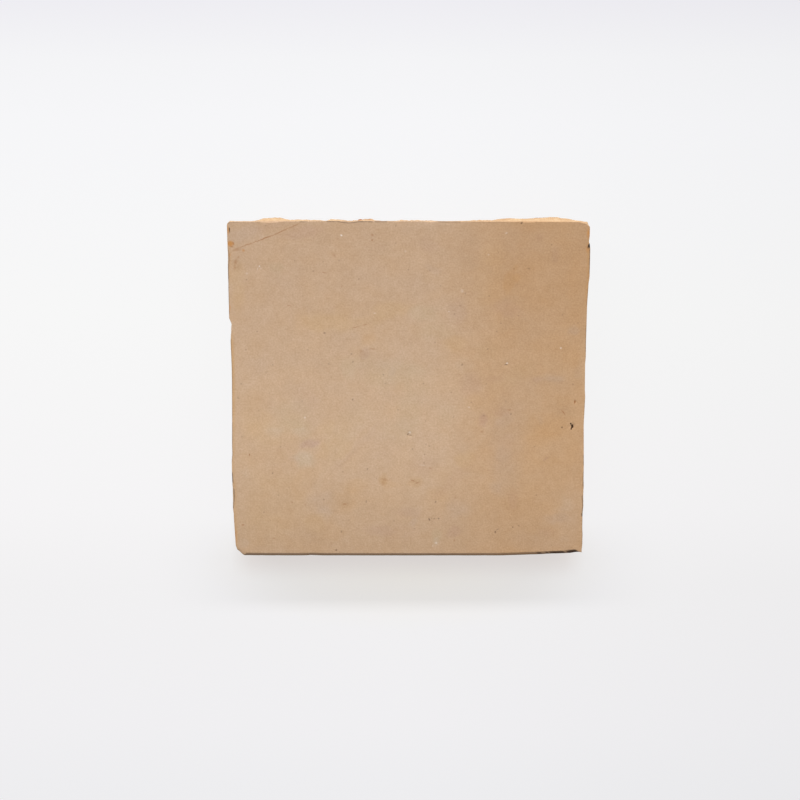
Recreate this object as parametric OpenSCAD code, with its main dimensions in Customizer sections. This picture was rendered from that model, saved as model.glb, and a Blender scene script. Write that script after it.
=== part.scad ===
// Zellige tile: one square of fired clay, cut to size by hand with a sharp hammer.
// The tile lies on its back. Its smoothed face looks up, and every wall leans in
// under the face, so that neighbouring tiles can be set edge to edge.

/* [Face] */
// Width of the face
face_w = 100; // [60:1:200]
// Length of the face
face_l = 100; // [60:1:200]
// Thickness of the clay
tile_t = 12; // [8:0.5:20]

/* [Chiselled walls] */
// Depth of the upright cut just below the face
land_t = 0.4; // [0.2:0.1:4]
// Lean of the wall under that cut, in degrees
wall_lean = 14; // [4:0.5:20]
// Mean length of the scars broken out of the back edge
back_scar_length = 9; // [4:0.5:16]
// Mean depth of those scars
back_scar_bite = 0.8; // [0.2:0.1:1.5]

/* [Hidden] */

clay_colour = "#c4a582";
scallop_fn = 96;
scar_fn = 48;

// Sides run anticlockwise from the bottom: bottom, right, top, left.
// Every place along a side is a share of its half length, from -1 to 1.
BOTTOM = 0;
RIGHT = 1;
TOP = 2;
LEFT = 3;
side_turn = [0, 90, 180, 270];
side_half = [face_w / 2, face_l / 2, face_w / 2, face_l / 2];
side_reach = [face_l / 2, face_w / 2, face_l / 2, face_w / 2];

// The cut line of the face along each side: [place, distance out from the true square].
bottom_line = [[-0.945, 0.05], [-0.1, 0.25], [0.36, 0.2], [0.5, 0.15], [0.74, -0.25], [0.985, -0.8]];
right_line = [[-0.985, 0.35], [-0.5, 0.15], [-0.2, -0.25], [0, 0], [0.3, -0.2], [0.52, -0.15],
              [0.66, 0.15], [0.7, 0.45], [0.85, 0.3], [0.885, -0.1], [0.94, 0.2], [0.97, 0.1]];
top_line = [[-0.985, -0.75], [-0.94, -0.2], [0.0, 0.0], [0.45, 0.05], [0.99, -0.1]];
left_line = [[-0.98, 0.45], [-0.88, 0.05], [-0.65, 0.2], [-0.44, 0.1], [-0.405, -0.6], [-0.34, -0.15],
             [-0.12, -0.35], [0.16, -0.1], [0.44, 0.25], [0.76, 0.1], [0.94, -0.3], [0.972, -0.8]];
cut_lines = [bottom_line, right_line, top_line, left_line];

// Hollows that the hammer's blows left down each wall: [place, width at the back, bite at the back].
bottom_blows = [[-0.82, 17, 1.3], [-0.42, 22, 1.7], [0.02, 20, 1.2], [0.46, 23, 1.8], [0.86, 16, 1.1]];
right_blows = [[-0.84, 15, 1.2], [-0.5, 18, 1.6], [-0.1, 21, 1.4], [0.33, 20, 1.9], [0.78, 22, 1.3]];
top_blows = [[-0.99, 9, 1.7], [-0.62, 18, 0.4], [-0.26, 26, 1.7], [0.08, 15, 1.5], [0.5, 25, 0.9],
             [0.92, 15, 1.6]];
left_blows = [[-0.8, 19, 1.5], [-0.36, 22, 1.2], [0.1, 23, 1.8], [0.52, 18, 1.3], [0.88, 14, 1.6]];
blows = [bottom_blows, right_blows, top_blows, left_blows];

// Flakes knocked off the edge of the face: [place, length along the edge, bite].
bottom_flakes = [[0.62, 6, 0.2], [0.83, 9, 0.25], [-0.55, 5, 0.2]];
right_flakes = [[0.4, 10, 0.2], [-0.16, 5, 0.25], [-0.62, 7, 0.2]];
top_flakes = [[-0.66, 7, 0.25], [-0.12, 4, 0.2], [0.33, 5, 0.25], [0.76, 8, 0.3]];
left_flakes = [[-0.8, 5, 0.2], [0.62, 8, 0.25], [0.88, 4, 0.25]];
flakes = [bottom_flakes, right_flakes, top_flakes, left_flakes];

// A flake comes off at this angle to the face.
flake_slope = 45;

// A back scar comes off at this angle to the back, give or take the spread.
scar_slope = 30;
scar_slope_spread = 15;
// How much a back scar may differ from the mean size.
scar_size_spread = 0.5;
// How far a back scar may lie from the middle of its hollow, as a share of the hollow's half width.
scar_place_spread = 0.45;
// Each side draws its scars from its own run of chance.
scar_seed = 100;

// Cuts reach this far past the clay.
clear = 5;

// How far a wall has leaned in where it meets the back.
back_inset = (tile_t - land_t) * tan(wall_lean);

// Radius of the round tool that leaves a hollow of this width and depth.
function tool_radius(width, depth) = (width * width / 4 + depth * depth) / (2 * depth);

// Corner points of the cut line of one side, in the side's own frame: x along it, -y outwards.
function side_points(side) = [
    for (p = cut_lines[side]) [p[0] * side_half[side], -side_reach[side] - p[1]]
];

// A point turned anticlockwise from the bottom side's frame to the tile's.
function turned(p, angle) = [
    p[0] * cos(angle) - p[1] * sin(angle),
    p[0] * sin(angle) + p[1] * cos(angle)
];

// Puts a tool made for the bottom side at a place along any side.
module on_side(side, place) {
    rotate([0, 0, side_turn[side]])
        translate([place * side_half[side], -side_reach[side], 0])
            children();
}

// The slab, as thick as the tile and as wide as the face.
module slab() {
    outline = [for (side = [BOTTOM:LEFT], p = side_points(side)) turned(p, side_turn[side])];
    linear_extrude(tile_t) polygon(outline);
}

// Everything outside the leaning plane of one wall.
module wall_waste(side) {
    length = 2 * side_half[side] + 4 * clear;
    on_side(side, 0)
        translate([0, 0, tile_t - land_t])
            rotate([wall_lean, 0, 0])
                translate([-length / 2, -2 * clear, -tile_t - clear])
                    cube([length, 2 * clear, 2 * tile_t + clear]);
}

// One hollow: a leaning round tool that meets the wall under the land and bites deepest at the back.
module blow(side, place, width, bite) {
    r = tool_radius(width, bite);
    drop = tile_t - land_t;
    lean = atan((back_inset + bite) / drop);
    on_side(side, place)
        translate([0, 0, drop])
            rotate([lean, 0, 0])
                translate([0, -r, -drop - clear])
                    cylinder(r = r, h = drop + tile_t + clear, $fn = scallop_fn);
}

// One flake: a ball that cuts the edge of the face from above and outside.
module flake(side, place, length, bite) {
    r = tool_radius(length, bite);
    reach = r - bite;
    on_side(side, place)
        translate([0, -reach * cos(flake_slope), tile_t + reach * sin(flake_slope)])
            sphere(r = r, $fn = scar_fn);
}

// One back scar: a ball that cuts the back edge from below and outside, in a hollow of this depth there.
module back_scar(side, place, hollow, length, bite, slope) {
    r = tool_radius(length, bite);
    reach = r - bite;
    on_side(side, place)
        translate([0, back_inset + hollow - reach * cos(slope), -reach * sin(slope)])
            sphere(r = r, $fn = scar_fn);
}

// Scars all along the back edge of one side, where the clay broke away under the blows.
module back_scars(side) {
    for (i = [0:len(blows[side]) - 1]) {
        b = blows[side][i];
        chance = rands(-1, 1, 3, scar_seed * side + i);
        share = scar_place_spread * chance[0];
        size = 1 + scar_size_spread * chance[1];
        slope = scar_slope + scar_slope_spread * chance[2];
        place = b[0] + share * b[1] / (2 * side_half[side]);
        hollow = b[2] * (1 - share * share);
        back_scar(side, place, hollow, back_scar_length * size, back_scar_bite * size, slope);
    }
}

// The tile: the slab, less all that the hammer took off.
module tile() {
    color(clay_colour)
        difference() {
            slab();
            for (side = [BOTTOM:LEFT]) {
                wall_waste(side);
                for (b = blows[side]) blow(side, b[0], b[1], b[2]);
                for (f = flakes[side]) flake(side, f[0], f[1], f[2]);
                back_scars(side);
            }
        }
}

tile();
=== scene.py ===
from itertools import product
from math import cos, pi, radians, sin

import bpy
import numpy as np
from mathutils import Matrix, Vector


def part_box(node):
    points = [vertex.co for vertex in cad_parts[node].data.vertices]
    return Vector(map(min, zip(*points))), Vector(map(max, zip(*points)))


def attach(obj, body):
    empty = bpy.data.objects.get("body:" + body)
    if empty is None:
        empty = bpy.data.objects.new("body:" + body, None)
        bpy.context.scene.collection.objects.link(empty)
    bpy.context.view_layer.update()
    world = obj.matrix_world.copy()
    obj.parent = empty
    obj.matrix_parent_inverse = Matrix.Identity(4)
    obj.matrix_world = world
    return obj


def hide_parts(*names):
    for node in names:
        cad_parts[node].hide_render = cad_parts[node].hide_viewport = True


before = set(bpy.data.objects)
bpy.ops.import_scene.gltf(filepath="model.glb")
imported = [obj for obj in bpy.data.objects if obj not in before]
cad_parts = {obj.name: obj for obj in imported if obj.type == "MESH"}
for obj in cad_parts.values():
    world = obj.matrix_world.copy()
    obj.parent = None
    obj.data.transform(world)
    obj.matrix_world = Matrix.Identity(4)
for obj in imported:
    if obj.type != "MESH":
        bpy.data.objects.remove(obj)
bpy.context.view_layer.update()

# The tile's shape
# One slab of fired clay, moulded and smoothed by hand, fired, then cut square with a sharp hammer.
# The cuts follow the solid: its outline is read at many depths, and the rough break is worked on top.
# Lengths are in millimetres until the mesh is made.

MM = 0.001
SIDE_STEPS = 232                  # samples along each side of the rim, about 0.43 mm apart
BACK_STEPS = SIDE_STEPS // 2      # the back is plainer than the face

low_corner, high_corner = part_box("tile")
tile_t = (high_corner.z - low_corner.z) / MM
half_width = (high_corner.x - low_corner.x) / 2 / MM


def node_triangles(name):
    """The triangles of a solid as an array (triangle, corner, x y z), in millimetres."""
    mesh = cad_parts[name].data
    mesh.calc_loop_triangles()
    corners = np.empty(3 * len(mesh.loop_triangles), np.int32)
    mesh.loop_triangles.foreach_get("vertices", corners)
    points = np.empty(3 * len(mesh.vertices), np.float32)
    mesh.vertices.foreach_get("co", points)
    return points.reshape(-1, 3)[corners].reshape(-1, 3, 3).astype(float) / MM


def outline_reach(triangles, height, bearing):
    """How far a solid reaches from its middle at one height, along each bearing in the plane.

    A triangle that crosses the height gives a straight cut from a to b. A ray meets that cut where the
    cross product of the ray with the cut's points passes zero, and the farthest meeting is the reach.
    """
    under = triangles[:, :, 2] < height
    crossing = triangles[under.any(1) & ~under.all(1)]
    under = crossing[:, :, 2] < height
    lone = np.where(under.sum(1) == 1, under.argmax(1), (~under).argmax(1))
    order = (lone[:, None] + np.arange(3)) % 3
    turned = np.take_along_axis(crossing, order[:, :, None], 1)
    start, ends = turned[:, :1], turned[:, 1:]
    share = (height - start[..., 2:]) / (ends[..., 2:] - start[..., 2:])
    cuts = (start + share * (ends - start))[..., :2]
    a, b = cuts[None, :, 0], cuts[None, :, 1]
    ray = np.stack([np.cos(bearing), np.sin(bearing)], 1)[:, None]
    side_a = ray[..., 0] * a[..., 1] - ray[..., 1] * a[..., 0]
    side_b = ray[..., 0] * b[..., 1] - ray[..., 1] * b[..., 0]
    apart = np.where(side_a == side_b, 1.0, side_a - side_b)
    met = a + (side_a / apart)[..., None] * (b - a)
    ahead = (met * ray).sum(2)
    return np.where((side_a * side_b <= 0) & (side_a != side_b), ahead, 0.0).max(1)


def clay_noise(points, cell, seed):
    """Smooth relief of about -1 to 1 at points in millimetres: gradient noise on a lattice of this cell.

    Each lattice corner has a random slope. A point takes the heights that the eight slopes round it
    give there, blended by the fade 6t^5 - 15t^4 + 10t^3 along each axis.
    """
    chance = np.random.default_rng(seed)
    order = np.tile(chance.permutation(256), 3)
    slopes = chance.normal(size=(256, 3))
    slopes /= np.linalg.norm(slopes, axis=1, keepdims=True)
    place = points / cell
    base = np.floor(place).astype(int)
    part = place - base
    fade = part**3 * (part * (part * 6 - 15) + 10)
    total = np.zeros(points.shape[:-1])
    for corner in product((0, 1), repeat=3):
        x, y, z = np.moveaxis((base + corner) & 255, -1, 0)
        slope = slopes[order[order[order[x] + y] + z]]
        weight = np.where(corner, fade, 1 - fade).prod(-1)
        total += weight * (slope * (part - corner)).sum(-1)
    return 1.6 * total


def rough_noise(points, cell, octaves, seed):
    """Several clay noises added up, each half the cell and half the height of the one before."""
    layers = [clay_noise(points, cell / 2**k, seed + k) / 2**k for k in range(octaves)]
    return np.sum(layers, 0)


# The face's corners are its points farthest out along the diagonals. The rim's samples run anticlockwise
# from the lower left corner, evenly along each side.
SCAN_STEPS = 2880                 # bearings searched for the corners, an eighth of a degree apart
JUST_UNDER = 0.02                 # depth at which the face's own outline is read
solid = node_triangles("tile")
scan = np.linspace(-pi, pi, SCAN_STEPS, endpoint=False)
scan_rays = np.stack([np.cos(scan), np.sin(scan)], 1)
scanned = outline_reach(solid, tile_t - JUST_UNDER, scan)[:, None] * scan_rays
diagonals = np.array([[-1, -1], [1, -1], [1, 1], [-1, 1]])
tips = scanned[(scanned @ diagonals.T).argmax(0)]
along_side = np.linspace(0, 1, SIDE_STEPS, endpoint=False)[:, None]
around = np.concatenate([
    (1 - along_side) * start + along_side * end for start, end in zip(tips, np.roll(tips, -1, 0))
])
bearing = np.arctan2(around[:, 1], around[:, 0])
rim_steps = len(around)
side = np.repeat(["bottom", "right", "top", "left"], SIDE_STEPS)
place = np.where(np.isin(side, ["bottom", "top"]), around[:, 0], around[:, 1])

# Rows of the surface: inset from the edge on the face, then depth below the face on the wall.
face_inset = np.array([1.9, 1.45, 1.08, 0.78, 0.54, 0.35, 0.2, 0.09, 0.02])
wall_depth = np.array([JUST_UNDER, 0.1, 0.22, 0.38, 0.6, 0.9, 1.25, 1.7, 2.2, 2.9, 3.7, 4.6, 5.6,
                       6.7, 7.8, 8.9, 9.8, 10.6, 11.2, 11.65, 11.9, 11.99])
reach = np.array([outline_reach(solid, tile_t - depth, bearing) for depth in wall_depth])

# The small flakes of the lower edge are left to its wear: down to this depth its rows reach equally far.
PLAIN_DEPTH = 1.5
near_lower_edge = (wall_depth < PLAIN_DEPTH)[:, None] & (side == "bottom")
reach = np.where(near_lower_edge, reach[wall_depth < PLAIN_DEPTH].max(0), reach)


def stretch(name, middle, half_length, soft=0.8):
    """1 along a stretch of one side, falling to 0 past its ends over a soft length, in millimetres."""
    rise = (half_length - np.abs(place - middle)) / soft + 0.5
    return np.clip(rise, 0, 1) * (side == name)


# Small swells and dips of the edge between the solid's own corners, fading out down the wall:
# side, place, half length, how far out.
SWELL_DEPTH = 6.0
for name, middle, half_length, out in [
    ("bottom", 0.0, 47.5, 0.28),
    ("top", 0.0, 47.5, 0.15),
    ("left", -27.5, 8.0, 0.24),
    ("left", 17.3, 1.0, -0.25),
    ("right", 38.0, 5.0, 0.32),
    ("right", 4.5, 5.0, -0.18),
    ("right", -31.5, 4.0, 0.2),
    ("right", -45.0, 2.5, 0.18),
]:
    reach += out * stretch(name, middle, half_length, 2.0) * np.clip(1 - wall_depth[:, None] / SWELL_DEPTH, 0, 1)
edge_reach = reach[0]


def ring_points(radius, height):
    """Points round the rim at the radius of each bearing, at this height."""
    return np.stack([radius * np.cos(bearing), radius * np.sin(bearing), height], -1)


edge = ring_points(edge_reach, np.full(rim_steps, tile_t))

# The edge of the face is worn round, more in some places than in others, and most along the bottom.
wear = 0.14 + 0.6 * (side == "bottom")
wear += 0.15 * np.clip(clay_noise(edge, 5.0, 11), 0, 1)
wear += 0.3 * np.clip(clay_noise(edge, 1.7, 12) - 0.15, 0, 1)
EDGE_LOSS = 0.34                  # share of the wear that the sharp edge loses
MEETING = 0.21                    # share of the wear at which the worn face and the worn wall meet
MEETING_REACH = 1.2               # how far from the edge the rows make room for that


def rounding(distance):
    """How far a worn edge lies under its sharp one: a parabola that starts at the wear's own distance."""
    return EDGE_LOSS * wear * np.clip(1 - distance / wear, 0, None) ** 2


def beside_edge(distance):
    """Moves a row away from the sharp edge, so that the rows of the face and the wall meet and don't cross."""
    return distance + MEETING * wear * np.clip(1 - distance / MEETING_REACH, 0, 1)


row_inset = beside_edge(face_inset[:, None])
row_depth = beside_edge(wall_depth[:, None])
face_rows = edge_reach * (1 - row_inset / half_width)
face_drop = rounding(row_inset)
wall_rows = reach - rounding(row_depth)

# The broken clay: crumbs in lumps of 4 mm and less, and ledges where it split. Both grow from nothing just
# under the edge to their full depth 2 mm farther down.
wall_points = ring_points(wall_rows, tile_t - row_depth)
crumble = 0.05 + 0.3 * rough_noise(wall_points, 4.2, 4, 21)
ledge_side = np.sign(clay_noise(wall_points * [1, 1, 1.8], 3.1, 31))
ledges = 0.16 * ledge_side * np.abs(clay_noise(wall_points, 1.4, 32)) ** 0.5
freed = np.clip((wall_depth[:, None] - 0.3) / 2.0, 0, 1)
wall_rows = wall_rows - freed * (crumble + ledges)

# The upper wall's break stands out or falls back in places: place, half length, softness, how far.
for middle, half_length, soft, swell in [
    (39.5, 4.0, 4.0, 1.05), (30.5, 5.0, 4.0, 0.8), (18.5, 1.6, 2.0, 0.4), (9.5, 3.0, 2.0, -0.3),
    (-1.8, 1.0, 2.0, 0.4), (-6.8, 1.4, 1.5, -0.3), (-11.0, 1.4, 1.5, 0.5), (-15.6, 1.0, 1.5, -0.25),
    (-20.0, 1.5, 2.0, 0.6), (-26.5, 4.0, 4.0, 0.4), (-37.5, 3.0, 4.0, 0.85),
]:
    wall_rows += swell * freed * stretch("top", middle, half_length, soft)


def skin_relief(points):
    """How far the smoothed face stands off a true plane: slow waves from the hand, and a faint grain."""
    flat = np.stack([points[..., 0], points[..., 1], np.full(points.shape[:-1], tile_t)], -1)
    return (
        0.05 * clay_noise(flat, 26.0, 41)
        + 0.018 * clay_noise(flat, 7.0, 42)
        + 0.012 * clay_noise(flat, 1.6, 43)
    )


def fill_ring(ring, steps):
    """A square grid of points inside a ring of four sides: Coons' patch.

    It adds the straight joins of the left and right sides to those of the bottom and top sides, and
    takes away the flat sheet through the four corners.
    """
    closed = np.concatenate([ring, ring[:1]])
    bottom, right = closed[:steps + 1], closed[steps:2 * steps + 1]
    top, left = closed[2 * steps:3 * steps + 1][::-1], closed[3 * steps:][::-1]
    u = np.linspace(0, 1, steps + 1)[None, :, None]
    v = np.linspace(0, 1, steps + 1)[:, None, None]
    across = (1 - u) * left[:, None] + u * right[:, None]
    upwards = (1 - v) * bottom[None] + v * top[None]
    corners = (1 - v) * ((1 - u) * bottom[0] + u * bottom[-1]) + v * ((1 - u) * top[0] + u * top[-1])
    return across + upwards - corners


def rim_of(grid):
    """The entries round a square grid, in the order of the rim's samples."""
    return np.concatenate([grid[0, :-1], grid[:-1, -1], grid[-1, :0:-1], grid[:0:-1, 0]])


def quads(grid):
    """The four corners of every cell of a grid of vertex numbers."""
    return np.stack([grid[:-1, :-1], grid[:-1, 1:], grid[1:, 1:], grid[1:, :-1]], -1).reshape(-1, 4)


# Small hollows in the face, where grit fell out: x, y, radius and depth.
pits = [
    (0.4, -12.6, 0.75, 0.2),
    (27.6, 8.4, 0.7, 0.15),
    (46.5, -10.2, 0.6, 0.35),
    (47.1, -3.0, 0.45, 0.15),
    (-49.2, 43.7, 0.8, 0.15),
    (-41.3, 36.5, 0.7, 0.08),
    (21.3, -8.5, 1.4, 0.05),
]


def pit_depth(points):
    """How deep the face is sunk at each point by its pits, each a bell curve of its radius and depth."""
    depth = np.zeros(points.shape[:-1])
    for x, y, radius, deepest in pits:
        away = np.hypot(points[..., 0] - x, points[..., 1] - y)
        depth += deepest * np.exp(-((away / radius) ** 2))
    return depth


RELIEF_REACH = 0.6                # the face's relief fades out this close to the edge
face_ring = ring_points(face_rows, tile_t - face_drop)
face_ring[..., 2] += skin_relief(face_ring) * np.clip(face_inset / RELIEF_REACH, 0, 1)[:, None]
wall_ring = ring_points(wall_rows, tile_t - row_depth)
back_inset = np.array([0.25, 0.8])
back_ring = ring_points(wall_rows[-1] * (1 - back_inset[:, None] / half_width), np.zeros((2, rim_steps)))
face_grid = fill_ring(face_ring[0], SIDE_STEPS)
face_grid[..., 2] = tile_t + skin_relief(face_grid) - pit_depth(face_grid)

# The back is flat where it lies, with hollows no deeper than 0.05 mm.
BACK_GRID_INSET = 1.8
coarse_ring = ring_points(wall_rows[-1] * (1 - BACK_GRID_INSET / half_width), np.zeros(rim_steps))[::2]
back_grid = fill_ring(coarse_ring, BACK_STEPS)
back_grid[1:-1, 1:-1, 2] = 0.05 * np.clip(rough_noise(back_grid[1:-1, 1:-1], 6.0, 3, 51), 0, 1)

# The rows are numbered from the face inwards to the back: the face's grid, the rim's rows, the back's grid.
rows = np.concatenate([face_ring, wall_ring, back_ring])
row_count = len(rows)
rim_number = np.arange(row_count * rim_steps).reshape(row_count, rim_steps)
inner_face = face_grid[1:-1, 1:-1]
inner_count = (SIDE_STEPS - 1) ** 2
face_number = np.zeros(face_grid.shape[:2], int)
face_number[1:-1, 1:-1] = rim_number.size + np.arange(inner_count).reshape(inner_face.shape[:2])
back_number = rim_number.size + inner_count + np.arange((BACK_STEPS + 1) ** 2).reshape(BACK_STEPS + 1, -1)


def set_rim(grid, values):
    """Writes the rim's values round a square grid, in the order of the rim's samples."""
    steps = len(grid) - 1
    grid[0, :-1] = values[:steps]
    grid[:-1, -1] = values[steps:2 * steps]
    grid[-1, :0:-1] = values[2 * steps:3 * steps]
    grid[:0:-1, 0] = values[3 * steps:]


set_rim(face_number, rim_number[0])
strip = np.concatenate([rim_number, rim_number[:, :1]], 1)
strip_quads = np.stack([strip[:-1, :-1], strip[1:, :-1], strip[1:, 1:], strip[:-1, 1:]], -1).reshape(-1, 4)

# The back's grid has half as many steps, so three triangles join each of its steps to two of the rim's.
fine = strip[-1]
coarse = np.append(rim_of(back_number), back_number[0, 0])
f0, f1, f2 = fine[:-1:2], fine[1::2], fine[2::2]
c0, c1 = coarse[:-1], coarse[1:]
join = np.concatenate([
    np.stack([f0, c0, f1], 1),
    np.stack([f1, c0, c1], 1),
    np.stack([f1, c1, f2], 1),
])

vertices = np.concatenate([rows.reshape(-1, 3), inner_face.reshape(-1, 3), back_grid.reshape(-1, 3)])
face_quads = np.concatenate([quads(face_number), strip_quads, quads(back_number)[:, ::-1]])


def closed_mesh(name, points, polygons):
    """A mesh from points in millimetres and a list of arrays of faces, smooth all over."""
    mesh = bpy.data.meshes.new(name)
    corners = np.concatenate([p.ravel() for p in polygons]).astype(np.int32)
    sizes = np.concatenate([np.full(len(p), p.shape[1]) for p in polygons])
    starts = np.concatenate([[0], np.cumsum(sizes)[:-1]]).astype(np.int32)
    mesh.vertices.add(len(points))
    mesh.vertices.foreach_set("co", (points * MM).astype(np.float32).ravel())
    mesh.loops.add(len(corners))
    mesh.loops.foreach_set("vertex_index", corners)
    mesh.polygons.add(len(sizes))
    mesh.polygons.foreach_set("loop_start", starts)
    mesh.polygons.foreach_set("use_smooth", np.ones(len(sizes), bool))
    mesh.update(calc_edges=True)
    mesh.validate()
    return mesh


tile_mesh = closed_mesh("clay_tile", vertices, [face_quads, join])
tile = bpy.data.objects.new("clay_tile", tile_mesh)
bpy.context.scene.collection.objects.link(tile)


def over_surface(face_part, wall_part, back_part, inner_part, floor_part):
    """One value per vertex from the parts: rows on the face, on the wall and under it, then the two grids."""
    shapes = [face_ring, wall_ring, back_ring, inner_face, back_grid]
    parts = [face_part, wall_part, back_part, inner_part, floor_part]
    return np.concatenate([np.broadcast_to(v, g.shape[:2]).ravel() for v, g in zip(parts, shapes)])


# The skin ends just under the edge: all of the walls are broken clay, and the back is rubbed bare in part.
SKIN_DEPTH = 0.3
BACK_BARE = 0.6
bare = over_surface(0.0, np.clip((row_depth - SKIN_DEPTH) / SKIN_DEPTH, 0, 1), BACK_BARE, 0.0, BACK_BARE)

# Dark dirt held in the edge, and along the whole lower edge painted shade: side, place, half length, how far
# it reaches in, and how dense it is. It ends raggedly. On the wall it reaches less far than on the face and
# ends more softly.
WALL_SHARE = 0.4
FACE_FADE, WALL_FADE = 0.12, 0.7
dirt_and_shade_spread = np.zeros((2, rim_steps))
for name, middle, half_length, width, density in [
    # The first row is painted shade along the whole lower edge, on top of the real shade of its worn rounding;
    # the next four darken its right end.
    ("bottom", 1.2, 47.4, 0.95, 0.6),
    ("bottom", 37.6, 1.0, 0.97, 0.85),
    ("bottom", 40.0, 0.5, 0.96, 0.85),
    ("bottom", 43.2, 2.4, 0.98, 0.93),
    ("bottom", 47.7, 1.7, 1.05, 0.97),
    ("top", 0.0, 48.0, 0.2, 0.16),
    ("top", -15.8, 6.4, 0.24, 0.6),
    ("top", -7.5, 1.8, 0.26, 0.55),
    ("top", -28.5, 1.1, 0.25, 0.4),
    ("top", 11.0, 3.2, 0.22, 0.5),
    ("top", 41.5, 7.0, 0.2, 0.4),
    ("top", 30.6, 0.35, 0.5, 0.75),
    ("top", -48.0, 2.0, 0.22, 0.35),
    ("left", 32.5, 9.5, 0.2, 0.4),
    ("left", 35.5, 2.0, 0.26, 0.5),
    ("left", -15.0, 6.0, 0.22, 0.35),
    ("left", -25.6, 1.6, 0.28, 0.7),
    ("left", -32.0, 3.0, 0.24, 0.5),
    ("left", 4.0, 12.0, 0.2, 0.32),
    ("right", 43.1, 0.55, 0.62, 0.95),
    ("right", 38.5, 3.6, 0.26, 0.5),
    ("right", 28.5, 2.6, 0.18, 0.35),
    ("right", 16.0, 4.0, 0.18, 0.35),
    ("right", -3.6, 1.2, 0.18, 0.3),
    ("right", -20.5, 1.6, 0.2, 0.4),
    ("right", -26.5, 2.4, 0.22, 0.4),
    ("right", -34.5, 3.0, 0.25, 0.5),
    ("right", -37.6, 0.5, 0.35, 0.8),
    ("right", -43.0, 4.0, 0.18, 0.3),
]:
    there = stretch(name, middle, half_length, 0.5)
    dirt_and_shade_spread = np.where(width * there > dirt_and_shade_spread[0], [width * there, density * there], dirt_and_shade_spread)
ragged = dirt_and_shade_spread[0] * (1 + 0.25 * clay_noise(edge, 1.1, 62) * np.where(side == "bottom", 0.4, 1))
dense = dirt_and_shade_spread[1] * (dirt_and_shade_spread[0] > 0.05)
frayed = 0.35 * rough_noise(wall_points, 1.6, 3, 63)
edge_dirt_and_shade = over_surface(
    dense * np.clip((ragged - row_inset) / FACE_FADE + 0.5, 0, 1),
    dense * np.clip((WALL_SHARE * ragged - row_depth + frayed) / WALL_FADE + 0.5, 0, 1),
    0.0, 0.0, 0.0,
)


def srgb(code):
    """An sRGB hex colour as a linear one."""
    values = [int(code[i:i + 2], 16) / 255 for i in (1, 3, 5)]
    return [v / 12.92 if v <= 0.04045 else ((v + 0.055) / 1.055) ** 2.4 for v in values] + [1.0]


def smooth_step(value, low, high):
    """0 below low, 1 above high, and 3t^2 - 2t^3 between them."""
    t = np.clip((value - low) / (high - low), 0, 1)
    return t * t * (3 - 2 * t)


# The skin's colour: beige, turning to tan on the right, darker towards the upper and lower edges. The
# borders of colours stray by up to about 0.9 mm.
STRAY = 0.9
flat = vertices * [1, 1, 0]
stray_x = flat[:, 0] + STRAY * rough_noise(flat, 4.0, 2, 71)
stray_y = flat[:, 1] + STRAY * rough_noise(flat, 4.0, 2, 73)
warm_side = smooth_step(stray_x + 3.5 * clay_noise(flat, 18.0, 75), 4, 34)[:, None]
skin_colour = (1 - warm_side) * srgb("#c8a98b")[:3] + warm_side * srgb("#c19c77")[:3]
lower_end = smooth_step(-flat[:, 1], 16, 51) * (1 - 0.55 * smooth_step(flat[:, 0], 8, 42))
skin_colour *= 1 - lower_end[:, None] * [0.115, 0.14, 0.175]
skin_colour *= 1 - smooth_step(flat[:, 1], -12, 46)[:, None] * [0.08, 0.095, 0.105]

# Slow mottling, where blue changes most, and faint streaks from the hand that smoothed the clay. The streaks
# slant, bend a little, and are seven times as long as wide.
MOTTLING, STREAKS = 0.025, 0.012
STREAK_LENGTH, STREAK_BEND = 7, 0.012
lightness = rough_noise(flat, 6.5, 3, 81)
hue = rough_noise(flat, 7.5, 3, 85)
slant = radians(50)
along = flat[:, 0] * cos(slant) + flat[:, 1] * sin(slant)
across = -flat[:, 0] * sin(slant) + flat[:, 1] * cos(slant) + STREAK_BEND * along**2
streak = clay_noise(np.stack([along / STREAK_LENGTH, across, 0 * along], 1), 2.4, 89)
mottling = np.stack([0.9 * lightness, lightness + 0.6 * hue, 1.2 * lightness + 1.8 * hue], 1)
skin_colour *= 1 + MOTTLING * mottling + STREAKS * streak[:, None]

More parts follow.
